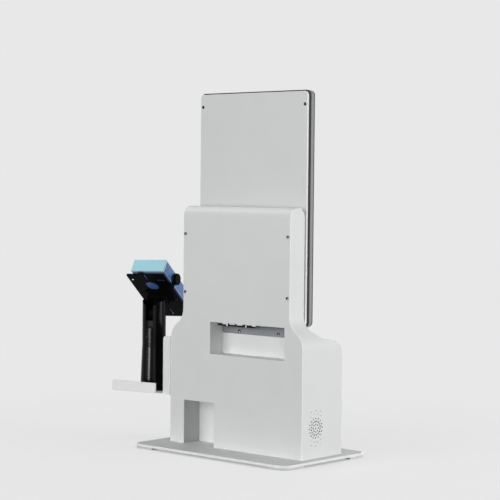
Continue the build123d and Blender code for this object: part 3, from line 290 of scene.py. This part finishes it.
# Glass, with the half width and half height of what lights up behind it
DISPLAY_LIT = (114.9 * MM, 204.9 * MM)
display_low, display_high = (Vector(corner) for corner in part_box("touch_glass"))
touch_black = screen_glass(
    "touch_glass_black", (display_low + display_high) / 2, *DISPLAY_LIT, ((1, 0, 0), (0, 0, 1))
)
window_black = finish(
    "scanner_glass", (0.010, 0.004, 0.005), 0.08, 0.10, 300.0, 0.03, 0.01 * MM, coat=1.0
)

# Painted highlights on rounded edges, and painted shade on the notch's side wall
EDGE_HIGHLIGHT = (1.0, 1.0, 1.0)
BASE_EDGE_HIGHLIGHT = (0.97, 0.98, 0.975)
NOTCH_SHADE = (0.45, 0.46, 0.455)
paint_light_by_slope(white_coat, "Y", (0.12, 0.35), (0.82, 0.97), EDGE_HIGHLIGHT)
paint_light_by_slope(cover_white, "Y", (-0.20, 0.10), (0.82, 0.97), EDGE_HIGHLIGHT)
paint_light_by_slope(bracket_coat, "Y", (-0.97, -0.60), (0.60, 0.97), EDGE_HIGHLIGHT)
paint_light_by_slope(notch_coat, "X", (-3.0, -2.0), (-0.90, -0.50), NOTCH_SHADE)
paint_light_by_slope(base_grey, "Z", (-0.40, -0.20), (0.90, 0.99), BASE_EDGE_HIGHLIGHT)

paint(white_coat, "rear_housing", "front_panel")
paint(bracket_coat, "side_bracket")
paint(inner_coat, "window_recess", "display_bracket")
paint(notch_coat, "cable_recess")
paint(cover_white, "display_back_cover")
paint(base_grey, "base_plate")
paint(rubber, "display_gasket", "platen_roller")
paint(pad_grey, "base_pads")
paint(screw_metal, "countersunk_screws", "bracket_screws")
paint(dark_screw, "small_screws")
paint(black_screw, "display_screws", "collar_screw", "tilt_pin")
paint(zinc, "zinc_plate")
paint(ground_steel, "print_head", "printer_hinge_pin")
paint(frame_grey, "display_frame")
paint(black_coat, "tilt_arm", "mount_plate", "clamp_jaws", "clamp_knob")
paint(black_gloss, "stand_pole", "swivel_head")
paint(black_plastic, "speaker", "scanner_module", "printer_body", "power_button")
paint(grey_plastic, "printer_cover")
paint(terminal_light, "cover_release_button", "terminal_end_cover")
paint(paper_white, "paper_roll")
paint(supply_metal, "power_supply")
paint(socket_metal, "board_sockets")
paint(board_green, "main_board")
paint(board_blue, "terminal_board")
paint(panel_dark, "lcd_panel")
paint(touch_black, "touch_glass")
paint(window_black, "scanner_window")
paint(key_grey, "key_star", "key_hash", *("key_%d" % digit for digit in range(10)))
paint(key_red, "key_cancel")
paint(key_yellow, "key_clear")
paint(key_green, "key_enter")

# The stand's moving frames at rest, in millimetres and degrees
STAND_X = 283.4
STAND_Y = -49.5
PIN_Z = 262.5
SWIVEL_REST = 19.3
TILT_REST = 36.2
PLATE_RISE = 46.0
PLATE_TURN = -2.6
PLATE_SHIFT = (0.9, 1.0, 0)
PLATE = (
    Matrix.Translation(at(STAND_X, STAND_Y, PIN_Z))
    @ turned(SWIVEL_REST, "Z")
    @ turned(TILT_REST, "X")
    @ moved(0, 0, PLATE_RISE)
    @ turned(PLATE_TURN, "Z")
    @ moved(*PLATE_SHIFT)
)

# The terminal lies on the slotted plate: its frame starts at the middle of its far end
TERMINAL_X = -8.5
TERMINAL_END_Y = 91.4
PLATE_SHEET = 2.0
TERMINAL_THICKNESS = 31.2
TERMINAL = PLATE @ moved(TERMINAL_X, TERMINAL_END_Y, PLATE_SHEET)
TERMINAL_TURN = TERMINAL.to_3x3()
terminal_across, terminal_along, terminal_up = (
    tuple((TERMINAL_TURN @ Vector(axis)).normalized()) for axis in ((1, 0, 0), (0, 1, 0), (0, 0, 1))
)

# The terminal's lens, with the half width and half height of what lights up behind it
LENS_Y = -45.0
TERMINAL_LIT = (24.5 * MM, 18.5 * MM)

# Heights over the plate between which the shells change from the navy painted shade to the line and
# on to blue
FOOT_SHADE_TOP = (2.6 * MM, 3.1 * MM)
LINE_TOP = (4.8 * MM, 5.4 * MM)
FOOT_SHADE_NAVY = (0.006, 0.014, 0.080)
LINE_BLUE = (0.20, 0.36, 0.62)
SHELL_BLUES = ((0.080, 0.170, 0.400), (0.088, 0.186, 0.430))
# Painted light on the shells' underside, which faces the plate
UNDERSIDE_PAINTED_LIGHT = (0.065, 0.150, 0.420)
UNDERSIDE_SLOPE = (-0.97, -0.90)
SHELL_ROUGHNESS = 0.42
SHELL_GRAIN_STRENGTH = 0.25
SHELL_GRAIN_DEPTH = 0.05 * MM


def shell_blue(name):
    """Blue plastic with navy painted shade along its foot, a paler line over it and painted light on
    its underside.
    """
    material, tree, body, place = shader(name)
    from_plate = vector_step(tree, "SUBTRACT", place, TERMINAL.translation)
    level = vector_step(tree, "DOT_PRODUCT", from_plate, terminal_up)
    grains = noise(tree, place, MOULDED["grain"], GRAIN_DETAIL)
    blue = mixed(tree, noise(tree, place, DRIFT_SCALE, DRIFT_DETAIL), *SHELL_BLUES)
    lined = mixed(tree, spread(tree, level, *LINE_TOP, 0.0, 1.0), LINE_BLUE, blue)
    foot_shaded = mixed(tree, spread(tree, level, *FOOT_SHADE_TOP, 0.0, 1.0), FOOT_SHADE_NAVY, lined)
    face = tree.nodes.new("ShaderNodeNewGeometry")
    lean = vector_step(tree, "DOT_PRODUCT", face.outputs["Normal"], terminal_up)
    underside = spread(tree, lean, *UNDERSIDE_SLOPE, 1.0, 0.0)
    tree.links.new(mixed(tree, underside, foot_shaded, UNDERSIDE_PAINTED_LIGHT), body.inputs["Base Color"])
    uneven = spread(
        tree, grains, *NOISE_MIDDLE,
        SHELL_ROUGHNESS - ROUGHNESS_DRIFT, SHELL_ROUGHNESS + ROUGHNESS_DRIFT,
    )
    tree.links.new(uneven, body.inputs["Roughness"])
    bumped(tree, body, grains, SHELL_GRAIN_STRENGTH, SHELL_GRAIN_DEPTH)
    return material


paint(shell_blue("terminal_blue"), "terminal_rear_shell", "terminal_front_shell")
lens_centre = TERMINAL @ Vector((0, LENS_Y * MM, TERMINAL_THICKNESS * MM))
terminal_glass = screen_glass(
    "terminal_glass", lens_centre, *TERMINAL_LIT, (terminal_across, terminal_along)
)
paint(terminal_glass, "terminal_screen")


# Small pieces that ride on the bodies
def piece(name, maker, material, body, where=Matrix.Identity(4), bevel=0):
    """A mesh piece, moved from its own frame, with edges rounded by a bevel in millimetres."""
    data = bpy.data.meshes.new(name)
    form = bmesh.new()
    maker(form)
    form.transform(where)
    bmesh.ops.recalc_face_normals(form, faces=form.faces)
    form.to_mesh(data)
    form.free()
    data.materials.append(material)
    thing = bpy.data.objects.new(name, data)
    scene.collection.objects.link(thing)
    if bevel:
        rounding = thing.modifiers.new("edges", "BEVEL")
        rounding.width = bevel * MM
        rounding.segments = 2
        rounding.limit_method = "ANGLE"
    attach(thing, body)


def slab(low, high):
    """A block between two corners, in millimetres of the shared frame."""
    def make(form):
        size = (Vector(high) - Vector(low)) * MM
        middle = (Vector(high) + Vector(low)) * MM / 2
        made = bmesh.ops.create_cube(form, size=1.0)
        for vertex in made["verts"]:
            vertex.co = Vector(vertex.co[i] * size[i] + middle[i] for i in range(3))
    return make


def cabinet_slab(low, high):
    """A block between two corners, in millimetres of the cabinet's frame."""
    return slab(at(*low) / MM, at(*high) / MM)


def disc(radius, thickness):
    """A flat disc from z = 0 upwards, in millimetres."""
    def make(form):
        bmesh.ops.create_cone(
            form, cap_ends=True, segments=20, radius1=radius * MM, radius2=radius * MM,
            depth=thickness * MM, matrix=moved(0, 0, thickness / 2),
        )
    return make


def dome(radius, height):
    """A flattened ball around the frame's origin, in millimetres."""
    def make(form):
        bmesh.ops.create_uvsphere(form, u_segments=20, v_segments=12, radius=radius * MM)
        for vertex in form.verts:
            vertex.co.z *= height / radius
    return make


# Legends on the terminal's keys, in rows of three, with the pale ones on the coloured row
KEY_LEGENDS = (
    ("key_1", "1"), ("key_2", "2"), ("key_3", "3"),
    ("key_4", "4"), ("key_5", "5"), ("key_6", "6"),
    ("key_7", "7"), ("key_8", "8"), ("key_9", "9"),
    ("key_star", "*"), ("key_0", "0"), ("key_hash", "#"),
    ("key_cancel", "X"), ("key_clear", "<"), ("key_enter", "O"),
)
COLOURED_ROW = 4
KEY_COLUMN_PITCH = 21.5
KEY_ROW_PITCH = 13.6
FIRST_KEY_Y = -82.0
KEY_RISE = 1.3
LEGEND_LIFT = 0.02
LEGEND_SIZE = 7.2
LEGEND_DEPTH = 0.06


def legend(name, text, material, body, where):
    curve = bpy.data.curves.new(name, "FONT")
    curve.body = text
    curve.size = LEGEND_SIZE * MM
    curve.extrude = LEGEND_DEPTH * MM
    curve.align_x = "CENTER"
    curve.align_y = "CENTER"
    written = bpy.data.objects.new(name, curve)
    scene.collection.objects.link(written)
    bpy.context.view_layer.update()
    data = bpy.data.meshes.new_from_object(written)
    bpy.data.objects.remove(written)
    data.transform(where)
    data.materials.clear()
    data.materials.append(material)
    thing = bpy.data.objects.new(name, data)
    scene.collection.objects.link(thing)
    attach(thing, body)


for index, (key, text) in enumerate(KEY_LEGENDS):
    row, column = divmod(index, 3)
    key_place = moved(
        (column - 1) * KEY_COLUMN_PITCH,
        FIRST_KEY_Y - row * KEY_ROW_PITCH,
        TERMINAL_THICKNESS + KEY_RISE + LEGEND_LIFT,
    )
    ink = legend_white if row == COLOURED_ROW else legend_ink
    legend("legend_" + key, text, ink, key, TERMINAL @ key_place)

# Painted shade in the recesses and painted highlights on the small screws of the neck and of the
# zinc
# plate: dark discs and bright domes. Discs and domes have a radius and a height.
RECESS_SHADE_DISC = (1.25, 0.1)
GLINT_DOME = (0.95, 0.3)
GLINT_SHIFT = (-1.3, 0.8, -1.1)
FACING_BACK = turned(-90, "X")
SCREW_HEAD = 0.85
NECK_SCREW_X = 141.5
NECK_SCREW_HEIGHTS = (319.3, 441.2)
ZINC_FRONT = -38.5
ZINC_SHEET = 1.2
ZINC_SCREWS_X = (20.1, -86.7)
ZINC_SCREW_Z = 242.1
zinc_rear = ZINC_FRONT + ZINC_SHEET
screw_centres = [
    (side * NECK_SCREW_X, SCREW_HEAD, height) for side in (-1, 1) for height in NECK_SCREW_HEIGHTS
]
screw_centres += [(x, zinc_rear + SCREW_HEAD, ZINC_SCREW_Z) for x in ZINC_SCREWS_X]
for n, centre in enumerate(screw_centres):
    head = Matrix.Translation(at(*centre)) @ FACING_BACK
    piece("screw_recess_%d" % n, disc(*RECESS_SHADE_DISC), recess_shade, "cabinet", head)
    glint = moved(*GLINT_SHIFT) @ head
    piece("screw_glint_%d" % n, dome(*GLINT_DOME), bright_metal, "cabinet", glint)

# A painted highlight on the collar screw, and the bright stud in the slotted plate
COLLAR_SCREW_TURN = 12.5
COLLAR_SCREW_REACH = 25.7
COLLAR_SCREW_Z = 212.6
COLLAR_GLINT_DOME = (0.9, 0.4)
STUD_DOME = (2.4, 1.2)
STUD_PLACE = (36.5, 63.9, 0)
collar_glint_place = (
    Matrix.Translation(at(STAND_X, STAND_Y, COLLAR_SCREW_Z))
    @ turned(SWIVEL_REST - COLLAR_SCREW_TURN, "Z")
    @ moved(0, COLLAR_SCREW_REACH, 0)
    @ FACING_BACK
)
piece("collar_screw_glint", dome(*COLLAR_GLINT_DOME), grey_plastic, "swivel", collar_glint_place)
piece("plate_stud", dome(*STUD_DOME), bright_metal, "tilt", PLATE @ moved(*STUD_PLACE))

# Tongues and gilt contacts in the first three sockets under the board
STANDOFF = 5.0
BOARD_SHEET = 1.6
SOCKET_START_X = 42.0
SOCKET_PITCH = 20.0
SOCKETS = ((13.0, 8, black_plastic), (11.6, 4, socket_blue), (11.6, 4, socket_blue))
TONGUE_SIDE_GAP = 1.0
TONGUE_BEVEL = 0.3
TONGUE_RISE = 2.2
TONGUE_SHEET = 2.2
TONGUE_LOW = 258.0
TONGUE_HIGH = 264.9
CONTACT_ROW_MARGIN = 4.0
CONTACT_HALF_WIDTH = 0.25
CONTACT_SHEET = 0.2
CONTACT_END_GAP = 0.4
CONTACT_HIGH = 264.4
board_rear = zinc_rear + STANDOFF + BOARD_SHEET
tongue_front = board_rear + TONGUE_RISE
tongue_rear = tongue_front + TONGUE_SHEET
for n, (width, contact_count, tongue_material) in enumerate(SOCKETS):
    x = SOCKET_START_X - n * SOCKET_PITCH
    reach = width / 2 - TONGUE_SIDE_GAP
    tongue = cabinet_slab(
        (x - reach, tongue_front, TONGUE_LOW), (x + reach, tongue_rear, TONGUE_HIGH)
    )
    piece("socket_tongue_%d" % n, tongue, tongue_material, "cabinet", bevel=TONGUE_BEVEL)
    contact_pitch = (width - CONTACT_ROW_MARGIN) / contact_count
    for pin in range(contact_count):
        pin_x = x + (pin - (contact_count - 1) / 2) * contact_pitch
        contact = cabinet_slab(
            (pin_x - CONTACT_HALF_WIDTH, tongue_rear, TONGUE_LOW + CONTACT_END_GAP),
            (pin_x + CONTACT_HALF_WIDTH, tongue_rear + CONTACT_SHEET, CONTACT_HIGH),
        )
        piece("socket_contact_%d_%d" % (n, pin), contact, gold, "cabinet")

# Painted shade for the socket row's openings: a dark slab, with two bright rims beside it
MOUTH_SPAN_X = (-34.0, 62.0)
MOUTH_DEPTH = 8.0
MOUTH_DROP = 3.2
MOUTH_PROUD = 0.3
RIM_X = (36.0, -16.4)
RIM_HALF_WIDTH = 1.5
RIM_SHEET = 0.4
RIM_DROP = 3.0
RIM_RISE = 1.0
RIM_BEVEL = 0.2
socket_low, socket_high = (Vector(corner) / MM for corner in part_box("board_sockets"))
mouth_rear = socket_high.y + MOUTH_PROUD
foot = socket_low.z
mouth_shade_slab = slab(
    (MOUTH_SPAN_X[0], socket_high.y - MOUTH_DEPTH, foot - MOUTH_DROP),
    (MOUTH_SPAN_X[1], mouth_rear, foot),
)
piece("socket_mouth_shade", mouth_shade_slab, recess_shade, "cabinet")
for n, x in enumerate(RIM_X):
    rim = slab(
        (x - RIM_HALF_WIDTH, mouth_rear, foot - RIM_DROP),
        (x + RIM_HALF_WIDTH, mouth_rear + RIM_SHEET, foot + RIM_RISE),
    )
    piece("socket_rim_%d" % n, rim, bright_metal, "cabinet", bevel=RIM_BEVEL)

# Floor and background: sizes in metres, and levels of grey
BACKGROUND = (0.807, 0.807, 0.811)
SHADOW_TONE = 0.30
FLOOR_LEVEL = 0.60
FLOOR_HALF_SIZE = 9.0
FLOOR_DROP = 0.2 * MM
FADE_SPAN = (0.30, 1.1)
CONTACT_SHADOW_REACH = 0.10
CONTACT_SHADOW_SPAN = (0.10, 0.98)
CONTACT_SHADOW_LEVEL = 0.60
SOFT_LIGHT_LEVEL = 0.15


def seen_directly(tree):
    """1 for rays from the camera, from gloss and through glass, and 0 for the rest."""
    rays = tree.nodes.new("ShaderNodeLightPath").outputs
    seen = number_step(tree, "MAXIMUM", rays["Is Camera Ray"], rays["Is Glossy Ray"])
    return number_step(tree, "MAXIMUM", seen, rays["Is Transmission Ray"])


def backdrop_material(name):
    """A pale floor that keeps shadows and fades into the background away from the object."""
    material = bpy.data.materials.new(name)
    material.use_nodes = True
    tree = material.node_tree
    tree.nodes.clear()
    out = tree.nodes.new("ShaderNodeOutputMaterial")
    body = tree.nodes.new("ShaderNodeBsdfDiffuse")
    glow = tree.nodes.new("ShaderNodeEmission")
    both = tree.nodes.new("ShaderNodeAddShader")
    clear = tree.nodes.new("ShaderNodeBsdfTransparent")
    fade = tree.nodes.new("ShaderNodeMixShader")
    coords = tree.nodes.new("ShaderNodeTexCoord")
    body.inputs["Color"].default_value = (SHADOW_TONE, SHADOW_TONE, SHADOW_TONE, 1.0)
    glow.inputs["Color"].default_value = (
        *(part - SHADOW_TONE * FLOOR_LEVEL for part in BACKGROUND), 1.0
    )
    near = tree.nodes.new("ShaderNodeAmbientOcclusion")
    near.samples = 8
    near.inputs["Distance"].default_value = CONTACT_SHADOW_REACH
    open_sky = spread(
        tree, near.outputs["AO"], *CONTACT_SHADOW_SPAN, CONTACT_SHADOW_LEVEL, 1.0
    )
    level = number_step(tree, "MULTIPLY", seen_directly(tree), open_sky)
    tree.links.new(level, glow.inputs["Strength"])
    tree.links.new(body.outputs[0], both.inputs[0])
    tree.links.new(glow.outputs[0], both.inputs[1])
    reach = vector_step(tree, "LENGTH", coords.outputs["Object"])
    tree.links.new(spread(tree, reach, *FADE_SPAN, 1.0, 0.0), fade.inputs[0])
    tree.links.new(clear.outputs[0], fade.inputs[1])
    tree.links.new(both.outputs[0], fade.inputs[2])
    tree.links.new(fade.outputs[0], out.inputs[0])
    return material


floor_data = bpy.data.meshes.new("floor")
floor_corners = [
    (x * FLOOR_HALF_SIZE, y * FLOOR_HALF_SIZE, 0) for x, y in ((-1, -1), (1, -1), (1, 1), (-1, 1))
]
floor_data.from_pydata(floor_corners, [], [(0, 1, 2, 3)])
floor_data.materials.append(backdrop_material("floor_pale"))
floor = bpy.data.objects.new("floor", floor_data)
floor.location.z = -FLOOR_DROP
scene.collection.objects.link(floor)

world = bpy.data.worlds.new("studio")
world.use_nodes = True
scene.world = world
world_tree = world.node_tree
world_tree.nodes.clear()
world_out = world_tree.nodes.new("ShaderNodeOutputWorld")
soft = world_tree.nodes.new("ShaderNodeBackground")
shown = world_tree.nodes.new("ShaderNodeBackground")
choose = world_tree.nodes.new("ShaderNodeMixShader")
soft.inputs["Color"].default_value = (1.0, 1.0, 1.0, 1.0)
soft.inputs["Strength"].default_value = SOFT_LIGHT_LEVEL
shown.inputs["Color"].default_value = (*BACKGROUND, 1.0)
shown.inputs["Strength"].default_value = 1.0
world_tree.links.new(seen_directly(world_tree), choose.inputs[0])
world_tree.links.new(soft.outputs[0], choose.inputs[1])
world_tree.links.new(shown.outputs[0], choose.inputs[2])
world_tree.links.new(choose.outputs[0], world_out.inputs[0])


# Lamps, each with its place, what it points at, its width and height in metres, and its watts
def lamp(name, place, target, size, power):
    data = bpy.data.lights.new(name, "AREA")
    data.shape = "RECTANGLE"
    data.size, data.size_y = size
    data.energy = power
    thing = bpy.data.objects.new(name, data)
    thing.location = place
    thing.rotation_euler = (Vector(target) - Vector(place)).to_track_quat("-Z", "Y").to_euler()
    scene.collection.objects.link(thing)
    return thing


MIDDLE = (0, 0, 0.35)
lamp("side_soft", (-2.7, -1.2, 0.6), MIDDLE, (1.8, 1.6), 54)
lamp("back_soft", (0.9, 3.2, 1.0), MIDDLE, (2.6, 2.0), 54)
lamp("corner_soft", (-2.6, 2.6, 0.6), MIDDLE, (1.6, 1.4), 24)
lamp("top_soft", (0.2, 0.3, 3.2), (0, 0, 0.3), (2.6, 2.6), 9)
lamp("front_fill", (1.0, -3.2, 1.4), MIDDLE, (2.2, 2.0), 26)

# A strip lamp that shows only as gloss, and only on these nodes
streak = lamp("streak_strip", (0.25, 3.6, 1.0), (0.1, 0, 0.35), (0.85, 2.2), 420)
streak.visible_diffuse = False
glossed = bpy.data.collections.new("glossed")
for name in (
    "stand_pole", "swivel_head", "side_bracket", "base_plate",
    "cable_recess", "window_recess", "zinc_plate",
):
    glossed.objects.link(nodes[name])
streak.light_linking.receiver_collection = glossed

# The camera, fitted in the cabinet's frame: its focal length is in pixels of a picture this wide,
# and its roll in degrees
PICTURE_WIDTH = 500.0
FOCAL_LENGTH = 1665.68
SENSOR_WIDTH = 36.0
CAMERA_ROLL = 0.564
CAMERA_PLACE = (-2297.2, 2503.1, 538.4)
CAMERA_AIM = (-40.5, 0.0, 412.7)
camera_data = bpy.data.cameras.new("camera")
camera_data.sensor_width = SENSOR_WIDTH
camera_data.lens = FOCAL_LENGTH * SENSOR_WIDTH / PICTURE_WIDTH
camera = bpy.data.objects.new("camera", camera_data)
scene.collection.objects.link(camera)
place = at(*CAMERA_PLACE)
aim = at(*CAMERA_AIM)
ahead = (aim - place).normalized()
right = ahead.cross(Vector((0, 0, 1))).normalized()
up = right.cross(ahead)
roll = math.radians(CAMERA_ROLL)
right_rolled = right * math.cos(roll) + up * math.sin(roll)
up_rolled = -right * math.sin(roll) + up * math.cos(roll)
camera.matrix_world = Matrix((
    (right_rolled.x, up_rolled.x, -ahead.x, place.x),
    (right_rolled.y, up_rolled.y, -ahead.y, place.y),
    (right_rolled.z, up_rolled.z, -ahead.z, place.z),
    (0, 0, 0, 1),
))
scene.camera = camera
scene.view_settings.view_transform = "Standard"

bpy.context.view_layer.update()
